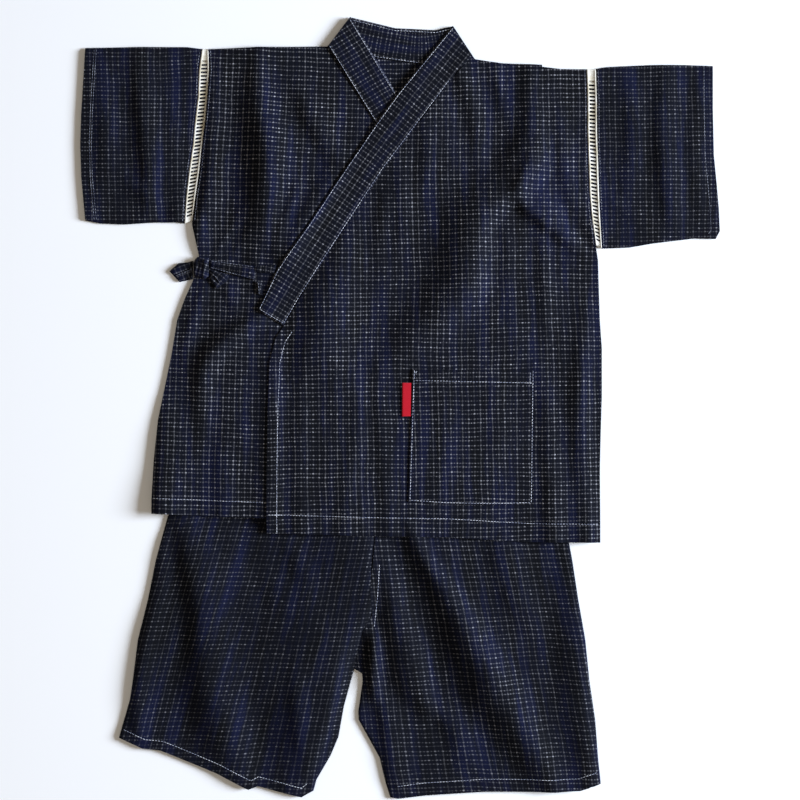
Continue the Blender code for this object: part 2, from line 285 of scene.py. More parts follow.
# ---------------------------------------------------------------- creases
# A line runs from its +Y end to its -Y end. A row: x, y, height, width on the -X side, width on the +X side.
CREASES = {
    "front_right": [
        [(-142, 360, 1.2, 12, 14), (-141, 320, 3.8, 22, 17), (-139, 300, 5.2, 29, 21),
         (-134, 280, 6.8, 33, 27), (-131, 260, 7.6, 35, 28), (-131, 240, 7.6, 35, 27),
         (-132, 220, 7.0, 36, 24), (-132, 200, 6.0, 38, 21), (-134, 180, 4.8, 39, 18),
         (-137, 160, 2.4, 34, 15)],
        [(-184, 344, 1.0, 10, 18), (-188, 300, 2.6, 10, 22), (-189, 250, 3.4, 12, 24),
         (-194, 210, 3.6, 10, 22), (-203, 178, 2.8, 6, 17), (-200, 156, 1.6, 5, 14)],
        [(-101, 222, 2.4, 10, 5), (-110, 198, 3.6, 9, 6), (-122, 166, 3.2, 8, 6), (-128, 146, 1.2, 7, 6)],
        [(-106, 334, 0.5, 12, 20), (-97, 308, 2.6, 14, 26), (-85, 282, 3.8, 15, 27),
         (-70, 258, 3.0, 16, 20)],
        [(-40, 264, 1.6, 20, 14), (-66, 226, 4.2, 26, 14), (-92, 186, 5.2, 26, 14),
         (-114, 152, 4.2, 16, 12)],
        [(-186, 148, 1.8, 5, 6), (-176, 168, 1.8, 6, 6), (-158, 196, 0.8, 8, 8)],
        [(-150, 176, 0.6, 6, 7), (-162, 160, 1.4, 6, 6), (-178, 144, 1.6, 5, 5)],
        [(-130, 96, 2.0, 11, 9), (-143, 86, 4.0, 15, 11), (-160, 76, 5.0, 17, 12), (-178, 62, 5.4, 20, 13),
         (-192, 45, 5.2, 22, 14), (-197, 20, 4.2, 22, 14), (-197, -6, 2.4, 20, 13),
         (-198, -40, 0.8, 16, 14)],
        [(-196, 122, 1.8, 6, 7), (-204, 96, 2.2, 8, 8), (-214, 60, 1.6, 10, 10), (-220, 20, 0.8, 12, 14)],
        [(-172, 118, 1.8, 8, 10), (-166, 100, 1.4, 8, 9), (-168, 88, 0.6, 8, 8)],
        [(-232, 10, 0.8, 8, 20), (-236, -20, 2.4, 9, 34), (-240, -60, 3.4, 9, 38),
         (-241, -105, 3.6, 9, 40)],
        [(-118, 70, 2.2, 30, 14), (-124, 40, 2.2, 26, 12), (-126, 0, 2.8, 24, 12), (-127, -50, 3.4, 26, 12),
         (-127, -112, 3.6, 28, 12)],
        [(-176, 0, 0.8, 12, 14), (-178, -40, 1.6, 14, 16), (-176, -104, 2.0, 14, 18)],
    ],
    "front_left": [
        [(129, 342, 1.0, 10, 14), (129, 310, 2.0, 12, 16), (131, 280, 3.2, 18, 24), (129, 258, 5.0, 30, 30),
         (124, 240, 6.8, 44, 30), (116, 224, 7.8, 54, 20), (102, 207, 8.0, 54, 14), (85, 190, 7.8, 48, 16),
         (77, 170, 7.8, 48, 22), (74, 150, 8.0, 50, 24), (69, 126, 7.8, 50, 25), (57, 108, 7.0, 48, 27),
         (41, 94, 6.0, 42, 31), (20, 78, 4.6, 36, 34), (3, 60, 2.8, 30, 32), (-14, 44, 1.0, 20, 26)],
        [(-40, 200, 0.8, 14, 22), (-56, 160, 2.4, 18, 30), (-66, 120, 4.2, 34, 38), (-76, 84, 6.0, 50, 40),
         (-74, 54, 4.8, 50, 36), (-66, 26, 1.4, 36, 26)],
        [(-12, 226, 0.6, 12, 12), (-16, 196, 1.6, 14, 13), (-20, 160, 1.6, 14, 13),
         (-18, 128, 0.6, 12, 12)],
        [(0, 250, 0.6, 10, 12), (2, 214, 1.8, 12, 14), (2, 180, 1.6, 12, 13), (-4, 150, 0.6, 12, 12)],
        [(54, 350, 1.2, 10, 14), (63, 326, 2.6, 12, 15), (72, 298, 2.6, 13, 16), (78, 268, 2.4, 14, 13),
         (80, 240, 0.8, 12, 12)],
        [(95, 342, 1.6, 8, 10), (99, 318, 2.0, 9, 10), (104, 296, 0.8, 9, 10)],
        [(24, 300, 0.4, 12, 12), (27, 268, 1.6, 13, 12), (26, 236, 1.4, 12, 12), (22, 210, 0.4, 12, 12)],
        # the armpit: a sharp fold from the sleeve's seam into the body, and the cloth pushed up round it
        [(141, 272, 0.8, 6, 14), (131, 250, 2.4, 7, 26), (122, 229, 3.6, 8, 34), (118, 212, 4.6, 8, 36),
         (123, 201, 4.8, 7, 36), (140, 188, 4.6, 7, 32), (160, 171, 3.8, 7, 22), (182, 157, 1.2, 6, 10)],
        [(133, 222, -1.0, 6, 6), (131, 212, -2.0, 6, 6), (134, 203, -1.0, 6, 6)],
        [(158, 208, -1.0, 9, 9), (170, 190, -3.0, 11, 10), (181, 172, -3.6, 10, 9), (192, 158, -2.0, 8, 7)],
        [(160, 300, 0.8, 12, 12), (163, 262, 2.2, 12, 12), (166, 234, 2.4, 12, 12),
         (172, 212, 1.4, 12, 10)],
        [(142, 186, 1.4, 9, 8), (144, 150, 2.4, 10, 8), (146, 104, 2.2, 10, 8), (147, 58, 1.0, 10, 8)],
        [(104, 190, 0.8, 8, 10), (108, 160, 1.6, 9, 9), (108, 120, 1.2, 9, 9), (112, 90, 0.6, 9, 9)],
        [(186, 104, 0.8, 14, 9), (184, 56, 2.6, 16, 12), (182, 10, 3.6, 18, 13), (184, -40, 3.8, 20, 12),
         (188, -84, 3.6, 22, 9), (191, -133, 3.2, 22, 7)],
        [(142, 40, 0.8, 10, 12), (147, -10, 2.0, 12, 15), (150, -60, 2.6, 14, 18),
         (152, -132, 2.8, 14, 18)],
        [(-96, 60, 0.6, 14, 14), (-98, 0, 1.4, 16, 14), (-100, -60, 1.6, 16, 14), (-98, -124, 2.0, 16, 16)],
        [(-44, 30, 0.8, 12, 13), (-42, -20, 1.6, 12, 13), (-50, -70, 1.4, 14, 14),
         (-54, -124, 1.8, 16, 18)],
        [(-22, 40, 0.6, 10, 13), (-20, 0, 1.6, 11, 13), (-14, -60, 1.4, 12, 12), (-10, -126, 2.0, 14, 14)],
    ],
    "pocket": [
        [(40, 30, 0.4, 12, 14), (44, -30, 0.9, 14, 16), (40, -90, 0.5, 14, 16)],
        [(92, 34, 0.7, 14, 14), (98, -10, 0.9, 14, 16), (94, -70, 0.5, 14, 16)],
    ],
    "sleeve_right": [
        [(-300, 340, 1.0, 14, 18), (-296, 270, 2.4, 14, 22), (-300, 205, 1.2, 14, 18)],
        [(-262, 352, 1.2, 14, 20), (-258, 300, 3.4, 13, 26), (-252, 240, 3.8, 13, 24),
         (-252, 196, 1.8, 12, 18)],
        [(-232, 320, 0.5, 9, 12), (-228, 260, 1.8, 9, 15), (-232, 214, 1.2, 9, 13)],
        [(-236, 206, 1.0, 10, 9), (-258, 216, 1.8, 10, 12), (-278, 232, 0.8, 12, 12)],
        [(-216, 240, 1.0, 14, 8), (-219, 210, 2.6, 16, 8), (-222, 190, 2.8, 16, 8)],
    ],
    "sleeve_left": [
        [(226, 334, 0.8, 12, 16), (232, 280, 2.2, 12, 20), (228, 220, 1.2, 12, 18)],
        [(266, 338, 1.2, 14, 20), (262, 280, 3.0, 14, 24), (270, 190, 2.0, 12, 20)],
        [(298, 322, 0.8, 10, 13), (294, 256, 1.8, 10, 16), (300, 190, 1.4, 10, 13)],
        [(256, 188, 0.8, 9, 10), (232, 194, 1.6, 9, 10), (210, 204, 0.8, 10, 10)],
    ],
    "leg_right": [
        [(-217, -112, 2.0, 16, 24), (-207, -160, 4.6, 20, 38), (-200, -200, 5.8, 22, 42),
         (-197, -240, 6.4, 26, 44), (-190, -280, 6.8, 38, 44), (-174, -320, 6.2, 44, 34),
         (-162, -352, 4.0, 40, 22), (-156, -376, 2.0, 24, 16)],
        [(-238, -130, 0.8, 10, 12), (-240, -180, 2.0, 10, 14), (-254, -230, 2.8, 10, 17),
         (-262, -280, 3.0, 8, 18), (-264, -322, 2.2, 8, 18)],
        [(-30, -124, 3.4, 70, 6), (-30, -150, 5.2, 100, 6), (-31, -200, 6.4, 130, 7),
         (-44, -222, 7.4, 130, 14), (-60, -246, 8.8, 140, 17), (-66, -284, 9.4, 140, 13),
         (-80, -330, 7.4, 90, 13), (-94, -368, 3.2, 44, 12)],
        [(-106, -258, 0.6, 8, 14), (-104, -296, 1.8, 9, 17), (-102, -334, 1.4, 9, 16)],
        [(-120, -122, 0.5, 14, 16), (-104, -150, 1.4, 14, 18), (-92, -186, 0.8, 14, 18)],
        [(-154, -128, -1.0, 16, 16), (-148, -160, -1.4, 14, 16), (-140, -200, -0.8, 14, 16)],
    ],
    "leg_left": [
        [(8, -114, 2.4, 12, 9), (19, -136, 4.6, 18, 9), (32, -160, 6.0, 22, 10), (46, -180, 7.0, 27, 13),
         (57, -200, 7.8, 34, 16), (67, -220, 8.8, 38, 20), (77, -240, 9.6, 42, 23),
         (88, -260, 10.0, 44, 26), (98, -280, 10.0, 46, 28), (110, -300, 9.2, 44, 27),
         (123, -320, 8.0, 40, 23), (134, -340, 6.4, 34, 19), (146, -360, 4.6, 26, 17),
         (155, -380, 3.0, 20, 12)],
        [(-20, -132, 1.4, 12, 10), (-15, -156, 3.8, 22, 15), (-9, -180, 5.4, 26, 18),
         (-4, -202, 6.2, 30, 20), (2, -222, 6.6, 32, 22), (8, -242, 6.6, 34, 24), (13, -262, 6.2, 34, 24),
         (19, -282, 5.2, 30, 22), (26, -302, 2.6, 18, 15)],
        [(-39, -124, 3.8, 5, 20), (-39, -150, 5.6, 5, 22), (-39, -198, 6.6, 5, 22),
         (-38, -222, 3.4, 5, 16)],
        [(170, -146, 1.6, 20, 8), (176, -190, 2.8, 28, 10), (181, -222, 4.0, 34, 10),
         (184, -260, 4.8, 36, 10), (186, -300, 4.8, 34, 10), (190, -340, 4.0, 27, 10),
         (193, -372, 2.8, 20, 9)],
        [(98, -124, 1.4, 18, 24), (105, -156, 2.8, 22, 32), (116, -188, 3.0, 24, 30),
         (130, -216, 1.4, 22, 20)],
        [(-24, -282, 1.2, 10, 16), (-15, -308, 2.8, 12, 24), (-11, -338, 3.2, 12, 28),
         (-6, -372, 2.4, 10, 24)],
        [(24, -294, 1.0, 12, 14), (42, -306, 2.6, 16, 20), (57, -324, 3.0, 18, 24),
         (66, -350, 1.6, 18, 20)],
        [(-27, -218, 2.0, 5, 8), (-27, -240, 6.0, 8, 11), (-27, -262, 6.0, 9, 12),
         (-26, -288, 2.4, 10, 10)],
    ],
    "collar_left": [
        [(36, 344, 0.3, 8, 8), (8, 306, 0.7, 8, 10), (-10, 280, 0.3, 8, 10)],
        [(-50, 226, 0.2, 8, 8), (-66, 190, 0.6, 8, 8), (-84, 168, 0.2, 8, 8)],
    ],
}
# Turned hems and facings: piece, the corners that they run between, how wide they are.
HEMS = [
    ("front_left", (-133, -125), (200, -134), 20.0),
    ("front_left", (-116, 82), (-133, -125), 11.5),
    ("front_right", (-248, -105), (85, -119), 17.0),
    ("sleeve_right", (-315, 360), (-315, 188), 12.5),
    ("sleeve_left", (316, 170), (313, 342), 12.5),
    ("leg_right", (-281, -330), (-87, -383), 11.0),
    ("leg_left", (-2, -391), (200, -376), 14.0),
    ("pocket", (134, 37), (13, 39), 12.5),
]
HEM_STEP = 0.55  # the turned cloth under them
HEM_SLOPE = 2.0  # how wide the step is

# ---------------------------------------------------------------- the layers
OUTLINES = {name: outline_of(name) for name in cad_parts}
TUBES = ("leg_right", "leg_left", "waistband", "sleeve_right", "sleeve_left", "lace_right", "lace_left")
FOLDED = ("collar_neck", "collar_right", "collar_left")
SHORTS = ("leg_right", "leg_left", "waistband")
BODY = SHORTS + ("back",)
# Each piece with the pieces that it lies on, from the lowest up.
LAYERS = [
    ("leg_right", ()), ("leg_left", ()), ("waistband", ()),
    ("sleeve_right", ()), ("sleeve_left", ()), ("lace_right", ()), ("lace_left", ()),
    ("back", SHORTS),
    ("collar_neck", ()),
    ("front_right", BODY),
    ("collar_right", BODY + ("collar_neck",)),
    ("front_left", BODY + ("collar_neck", "front_right", "collar_right")),
    ("collar_left", BODY + ("collar_neck", "front_right", "collar_right")),
    ("pocket", BODY + ("front_right", "collar_right", "front_left")),
    ("tab_label", BODY + ("front_right", "collar_right", "front_left")),
]
for tie in ("tie_band", "tie_petal", "tie_tail", "tie_loop", "tie_knot"):
    LAYERS.append((tie, BODY + ("front_right",)))

TOPS, LOWS, MASKS = {}, {}, {}


def wall_of(name):
    """How thick a piece is from its underside to its top."""
    if name in TUBES:
        return 2 * CLOTH + LAYER_GAP
    if name in FOLDED or name.startswith("tie"):
        return 2 * CLOTH + 0.5
    return RIBBON * 2 if name == "tab_label" else CLOTH


def edge_run(name, start, end, inset=0.0):
    """A stretch of a piece's outline, anticlockwise between its corners nearest to two places, moved in."""
    ring = OUTLINES[name]
    a, b = (int(np.hypot(*(ring - place).T).argmin()) for place in (start, end))
    count = (b - a) % len(ring)
    run = np.array([ring[(a + k) % len(ring)] for k in range(count + 1)])
    way = np.gradient(run, axis=0)
    way /= np.linalg.norm(way, axis=1)[:, None]
    return run + inset * np.stack([-way[:, 1], way[:, 0]], axis=1)


def path_distance(path, x, y):
    """How far points are from an open path."""
    return run_distance(list(zip(path[:-1], path[1:])), x, y)


def lay(name, below):
    """The height of a piece's top: its solid's, smoothed, with its creases, and above what it lies on."""
    ring = OUTLINES[name]
    mask = within(ring, GRID_X, GRID_Y)
    from_edge = edge_distance(ring, GRID_X, GRID_Y)
    heights, hit = top_of(name, mask)
    small = name.startswith(("tie", "tab"))
    field = blur_within(heights, hit, SMALL_BLUR if small else PANEL_BLUR)
    for rows in CREASES.get(name, ()):
        field = field + RELIEF * crease(rows)
    for owner, start, end, wide in HEMS:
        if owner == name:
            away = path_distance(edge_run(name, start, end), GRID_X, GRID_Y)
            field = field + HEM_STEP * np.clip((wide - away) / HEM_SLOPE + 0.5, 0, 1)
    if not small and name not in ("back", "waistband"):
        seed = sum(map(ord, name))
        fade = np.clip(from_edge / EDGE_CALM, 0.25, 1)
        field = field + fade * (rumple(seed, 34, 0.35, 1.6) + rumple(seed + 1, 13, 0.16, 1.4))
    floor = np.full(GRID_X.shape, 0.0)
    for lower in below:
        floor = np.where(MASKS[lower], np.maximum(floor, TOPS[lower] + LAYER_GAP), floor)
    needed = floor + wall_of(name)
    soft = blur(np.maximum(field, needed), SMALL_BLUR)
    TOPS[name], LOWS[name] = np.maximum(soft, needed), floor
    MASKS[name] = mask | (from_edge < 1.5 * PITCH)


for piece_name, lower_names in LAYERS:
    lay(piece_name, lower_names)

# ---------------------------------------------------------------- making cloth
def resampled(ring, spacing):
    """The outline with points at most one spacing apart, its corners kept."""
    points = []
    for start, end in zip(ring, np.roll(ring, -1, axis=0)):
        steps = max(1, int(np.ceil(np.hypot(*(end - start)) / spacing)))
        for k in range(steps):
            points.append(start + (end - start) * k / steps)
    return np.array(points)


def offset_ring(ring, inset):
    """The outline moved in, by each point's mean normal."""
    ahead = np.roll(ring, -1, axis=0) - ring
    behind = ring - np.roll(ring, 1, axis=0)
    ahead /= np.linalg.norm(ahead, axis=1)[:, None]
    behind /= np.linalg.norm(behind, axis=1)[:, None]
    inward = np.stack([-(ahead + behind)[:, 1], (ahead + behind)[:, 0]], axis=1)
    inward /= np.maximum(np.linalg.norm(inward, axis=1), 0.3)[:, None]
    return ring + inward * inset


def plan(ring, spacing, insets):
    """Points and triangles that fill an outline: its edge, rings just inside it, and a staggered lattice."""
    edge = resampled(ring, spacing)
    inner = []
    for inset in insets:
        moved = offset_ring(edge, inset)
        inner.append(moved[(edge_distance(ring, *moved.T) > 0.8 * inset) & within(ring, *moved.T)])
    low, high = ring.min(axis=0), ring.max(axis=0)
    rows = np.arange(low[1], high[1], spacing * math.sqrt(3) / 2)
    for k, y in enumerate(rows):
        x = np.arange(low[0] + (k % 2) * spacing / 2, high[0], spacing)
        inner.append(np.stack([x, np.full(len(x), y)], axis=1))
    lattice = np.concatenate(inner[len(insets):])
    clear = (insets[-1] if insets else 0) + 0.6 * spacing
    lattice = lattice[within(ring, *lattice.T)]
    lattice = lattice[edge_distance(ring, *lattice.T) > clear]
    points = np.concatenate([edge] + inner[:len(insets)] + [lattice])
    count = len(edge)
    border = [(k, (k + 1) % count) for k in range(count)]
    found = delaunay_2d_cdt([Vector(p) for p in points], border, [], 1, 1e-5)
    places = np.array([tuple(p) for p in found[0]])
    faces = np.array([f for f in found[2] if len(f) == 3])
    a, b, c = (places[faces[:, k]] for k in range(3))
    turn = (b - a)[:, 0] * (c - a)[:, 1] - (b - a)[:, 1] * (c - a)[:, 0]
    faces[turn < 0] = faces[turn < 0][:, ::-1]
    used, again = np.unique(faces, return_inverse=True)
    return places[used], again.reshape(-1, 3)


def new_piece(name, points, faces, grain, finish, thickness):
    """A mesh object from points in mm; grain is each point's place on the cloth, in mm."""
    mesh = bpy.data.meshes.new(name)
    corners = [tuple(p) for p in np.asarray(points) * MM]
    mesh.from_pydata(corners, [], [tuple(int(v) for v in f) for f in faces])
    layer = mesh.uv_layers.new(name="grain")
    index = np.zeros(len(mesh.loops), np.int32)
    mesh.loops.foreach_get("vertex_index", index)
    layer.data.foreach_set("uv", (np.asarray(grain, float)[index] * MM).reshape(-1))
    made = bpy.data.objects.new(name, mesh)
    bpy.context.scene.collection.objects.link(made)
    mesh.materials.append(finish)
    mesh.shade_smooth()
    if thickness:
        thicken(made, thickness)
    return made


def two_skins(name, upper, lower, faces, joined, grain, finish, wall):
    """A closed piece: an upper and a lower skin that share the points where they are joined."""
    number = np.arange(len(upper)) + len(upper)
    number[joined] = np.nonzero(joined)[0]
    both = np.concatenate([faces, number[faces][:, ::-1]])
    used, again = np.unique(both, return_inverse=True)
    points = np.concatenate([upper, lower])
    grains = np.concatenate([grain(upper), grain(lower)])
    return new_piece(name + "_cloth", points[used], again.reshape(-1, 3), grains[used], finish, wall)


def thicken(piece, thickness):
    wall = piece.modifiers.new("wall", "SOLIDIFY")
    wall.thickness = thickness * MM
    wall.offset = 0.0
    wall.use_rim = True
    bpy.context.view_layer.objects.active = piece
    bpy.ops.object.modifier_apply(modifier=wall.name)
    piece.data.shade_smooth()
    piece.data.set_sharp_from_angle(angle=math.radians(55))


def wandering(x, y, seed, reach=1.6):
    """How the weave's lines wander on the cloth, in mm, for a grain that isn't ruled with a rule."""
    shift_u = rumple(seed, 70, reach, 1.3) + rumple(seed + 1, 26, 0.35 * reach)
    shift_v = rumple(seed + 2, 80, reach) + rumple(seed + 3, 24, 0.3 * reach)
    return np.stack([read(shift_u, x, y), read(shift_v, x, y)], axis=1)


def straight_grain(points, angle, seed):
    """Grain lines at one angle from the garment's length, in degrees."""
    x, y = points[:, 0], points[:, 1]
    turn = math.radians(angle)
    u = x * math.cos(turn) + y * math.sin(turn)
    v = -x * math.sin(turn) + y * math.cos(turn)
    return np.stack([u, v], axis=1) + wandering(x, y, seed)


def grain_along(path, points, seed, reach=0.6):
    """Grain that follows a path: distance from it across, and the way along it."""
    path = np.array(path, float)
    at = travelled(path)
    dense = np.arange(0, at[-1] + 1, 2.0)
    line = np.stack([smooth_between(at, path[:, k], dense) for k in (0, 1)], axis=1)
    way = np.gradient(line, axis=0)
    way /= np.linalg.norm(way, axis=1)[:, None]
    gap = (points[:, None, 0] - line[None, :, 0]) ** 2 + (points[:, None, 1] - line[None, :, 1]) ** 2
    near = gap.argmin(axis=1)
    off = points[:, :2] - line[near]
    u = way[near, 0] * off[:, 1] - way[near, 1] * off[:, 0]
    v = dense[near] + (off * way[near]).sum(axis=1)
    return np.stack([-u, v], axis=1) + wandering(points[:, 0], points[:, 1], seed, reach)


# How far the grain leans out, in degrees, at places along the waist: mm, degrees.
LEG_LEAN = {
    "right": ([-160, -95, -30], [-15, -14, -11]),
    "left": ([-30, 40, 110], [6.5, 10, 9.5]),
}


def leg_grain(points, side, seed):
    """A leg's grain hangs from the gathered waist, so it fans out a little towards the hem."""
    x, y = points[:, 0], points[:, 1]
    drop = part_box("waistband")[0][1] / MM - y
    places, leans = LEG_LEAN[side]
    u = x
    for _ in range(4):
        u = x - np.tan(np.radians(np.interp(u, places, leans))) * drop
    return np.stack([u, y], axis=1) + wandering(x, y, seed)


def panel(name, grain, finish, spacing=SPACING):
    """A single layer of cloth on its solid."""
    ring = OUTLINES[name]
    places, faces = plan(ring, spacing, (0.8,))
    height = read(TOPS[name], *places.T) - CLOTH / 2
    points = np.column_stack([places, height])
    return new_piece(name + "_cloth", points, faces, grain(points), finish, CLOTH)


def tube(name, grain, finish, is_open, wall, spacing=SPACING, radius=FOLD_RADIUS):
    """Two layers joined at their folded edges.

    is_open says which stretches of the edge are open, from their place and outward normal."""
    ring = OUTLINES[name]
    places, faces = plan(ring, spacing, (0.35 * radius, radius))
    x, y = places.T
    from_fold = run_distance(folded_runs(ring, is_open), x, y)
    joined = (edge_distance(ring, x, y) < ON_EDGE) & (from_fold < ON_EDGE)
    top = read(TOPS[name], x, y) - wall / 2
    bottom = read(LOWS[name], x, y) + wall / 2
    middle, half = (top + bottom) / 2, (top - bottom) / 2
    opening = half * rounded(from_fold, radius)
    upper = np.column_stack([places, middle + opening])
    lower = np.column_stack([places, middle - opening])
    return two_skins(name, upper, lower, faces, joined, grain, finish, wall)


def folded_runs(ring, is_open):
    runs = []
    for start, end in zip(ring, np.roll(ring, -1, axis=0)):
        way = (end - start) / np.hypot(*(end - start))
        middle = (start + end) / 2
        if not is_open(middle[0], middle[1], way[1], -way[0]):
            runs.append((start, end))
    return runs


def declare(piece, node):
    """Puts a cloth piece under the root, and hides its node's solid if it has one."""
    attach(piece, "root")
    if node:
        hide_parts(node)


def flat_size(name, across=1, along=1):
    """A piece's cut: the box round its outline and its own area, doubled on the side that goes round."""
    ring = OUTLINES[name]
    wide, long = ring.max(axis=0) - ring.min(axis=0)
    return wide * across, long * along, across * along * abs(area_of(ring))


# ---------------------------------------------------------------- materials
def linear(code):
    """An sRGB hex colour as linear values."""
    parts = [int(code[k:k + 2], 16) / 255 for k in (1, 3, 5)]
    return tuple(p / 12.92 if p <= 0.04045 else ((p + 0.055) / 1.055) ** 2.4 for p in parts) + (1.0,)


def add(tree, kind, inputs=(), output=0, **settings):
    """Adds a node with its settings and gives one of its outputs; an input is a value or another output."""
    node = tree.nodes.new("ShaderNode" + kind)
    for key, value in settings.items():
        setattr(node, key, value)
    for key, value in inputs.items() if isinstance(inputs, dict) else enumerate(inputs):
        if isinstance(value, bpy.types.NodeSocket):
            tree.links.new(value, node.inputs[key])
        else:
            node.inputs[key].default_value = value
    return node.outputs[output]


def new_material(name, roughness, sheen=0.0, sheen_tint="#FFFFFF"):
    made = bpy.data.materials.new(name)
    made.use_nodes = True
    shader = made.node_tree.nodes["Principled BSDF"]
    shader.inputs["Roughness"].default_value = roughness
    shader.inputs["Sheen Weight"].default_value = sheen
    shader.inputs["Sheen Roughness"].default_value = 0.5
    shader.inputs["Sheen Tint"].default_value = linear(sheen_tint)
    shader.inputs["Specular IOR Level"].default_value = 0.05
    return made, made.node_tree, shader


def dobby_cotton(name, column, rows, bright=1.0):
    """Indigo cotton with a woven check of white dashes, yarn-dyed in uneven dark stripes.

    column is the distance between the white warp threads, and rows the two unequal steps between white picks,
    in mm. It gives the eye a broken grid of pale dots over a ground that drifts from near black to navy."""
    made, tree, shader = new_material(name, 0.88, 0.03, "#8C96C8")
    place = add(tree, "UVMap", uv_map="grain")
    wander = add(tree, "TexNoise", {"Vector": place, "Scale": 90.0, "Detail": 2.0}, "Color")
    wander = add(tree, "VectorMath", (wander, (0.5, 0.5, 0.5)), operation="SUBTRACT")
    wander = add(tree, "VectorMath", {0: wander, "Scale": 0.0011}, operation="SCALE")
    shifted = add(tree, "VectorMath", (place, wander), operation="ADD")
    in_mm = add(tree, "VectorMath", {0: shifted, "Scale": 1000.0}, operation="SCALE")
    u, v = add(tree, "SeparateXYZ", (in_mm,)).node.outputs[:2]
    # distance to the nearest white warp thread, and to the nearest white pick
    period = rows[0] + rows[1]
    in_column = add(tree, "Math", (u, column), operation="FLOORED_MODULO")
    in_pair = add(tree, "Math", (v, period), operation="FLOORED_MODULO")
    gaps = []
    for spot, line in ((in_column, column / 2), (in_pair, rows[1] / 2), (in_pair, rows[1] / 2 + rows[0])):
        gap = add(tree, "Math", (spot, line), operation="SUBTRACT")
        gaps.append(add(tree, "Math", (gap,), operation="ABSOLUTE"))
    to_warp = gaps[0]
    to_pick = add(tree, "Math", gaps[1:], operation="MINIMUM")
    to_middle = add(tree, "Math", (column / 2, to_warp), operation="SUBTRACT")
    # each crossing has its own brightness, as the floats catch more or less of the ground yarn
    cell = []
    for way, size in ((u, column), (v, period / 2)):
        share = add(tree, "Math", (way, size), operation="DIVIDE")
        cell.append(add(tree, "Math", (share,), operation="FLOOR"))
    column_chance = add(tree, "TexWhiteNoise", {"W": cell[0]}, "Value", noise_dimensions="1D")
    cell = add(tree, "CombineXYZ", cell)
    chance = add(tree, "TexWhiteNoise", {"Vector": cell}, "Value", noise_dimensions="2D")
    segment = add(tree, "TexWhiteNoise", {"Vector": cell, "W": 4.0}, "Value", noise_dimensions="4D")
    # unevenness by patches of 26 mm, along the yarn at 2.4 mm, and in its twist at 1 mm
    uneven = []
    for scale, detail, low, high in ((38.0, 3.0, 0.55, 1.1), (420.0, 2.0, 0.30, 1.15),
                                     (1000.0, 1.0, 0.55, 1.25)):
        noise = add(tree, "TexNoise", {"Vector": place, "Scale": scale, "Detail": detail}, "Fac")
        uneven.append(add(tree, "MapRange", (noise, 0.35, 0.65, low, high)))
    patches, along_yarn, twist = uneven
    yarn = add(tree, "Math", (along_yarn, twist), operation="MULTIPLY")
    # how wide each float lies, in mm from its middle: full up to the first, gone at the second
    floats = []
    for gap, full, gone in ((to_pick, 0.30, 0.70), (to_warp, 0.22, 0.65), (to_warp, 0.55, 1.10),
                            (to_middle, 0.4, 0.95), (to_pick, 0.8, 1.8)):
        floats.append(add(tree, "MapRange", (gap, full, gone, 1.0, 0.0), interpolation_type="SMOOTHSTEP"))
    pick, warp, float_ends, middle_dot, near_pick = floats
    at_crossing = add(tree, "Math", (pick, float_ends), operation="MULTIPLY")
    crossing_light = add(tree, "Math", (chance, 0.88, 0.24), operation="MULTIPLY_ADD")
    crossing = add(tree, "Math", (at_crossing, crossing_light), operation="MULTIPLY")
    showing = add(tree, "Math", (segment, 0.6, 0.4), operation="MULTIPLY_ADD")
    showing = add(tree, "Math", (column_chance, showing), operation="MULTIPLY")
    showing = add(tree, "Math", (showing, 0.46, 0.08), operation="MULTIPLY_ADD")
    joined = add(tree, "Math", (near_pick, 0.62, 0.38), operation="MULTIPLY_ADD")
    thread = add(tree, "Math", (warp, showing), operation="MULTIPLY")
    thread = add(tree, "Math", (thread, joined), operation="MULTIPLY")
    at_dot = add(tree, "Math", (pick, middle_dot), operation="MULTIPLY")
    dot_light = add(tree, "Math", (segment, 0.52, 0.06), operation="MULTIPLY_ADD")
    dot = add(tree, "Math", (at_dot, dot_light), operation="MULTIPLY")
    dash = add(tree, "Math", (pick, 0.08), operation="MULTIPLY")
    long_floats = add(tree, "Math", (crossing, thread), operation="MAXIMUM")
    short_floats = add(tree, "Math", (dot, dash), operation="MAXIMUM")
    white = add(tree, "Math", (long_floats, short_floats), operation="MAXIMUM")
    white = add(tree, "Math", (white, patches), operation="MULTIPLY")
    yarn_light = add(tree, "Math", (yarn, 0.56 * bright), operation="MULTIPLY")
    white = add(tree, "Math", (white, yarn_light), operation="MULTIPLY")
    # ground: stripes of darker and bluer warp, about 16 mm wide with finer ones in them, fading lengthwise
    along = add(tree, "Mapping", {"Vector": place, "Scale": (1.0, 0.12, 1.0)})
    stripe = add(tree, "TexNoise", {"Vector": along, "Scale": 62.0, "Detail": 3.0, "Roughness": 0.6}, "Fac")
    stripes = add(tree, "ValToRGB", {"Fac": stripe})
    ramp = stripes.node.color_ramp
    ramp.elements[0].position, ramp.elements[0].color = 0.36, linear("#0D0E13")
    ramp.elements[1].position, ramp.elements[1].color = 0.66, linear("#12162F")
    ramp.elements.new(0.50).color = linear("#0F111B")
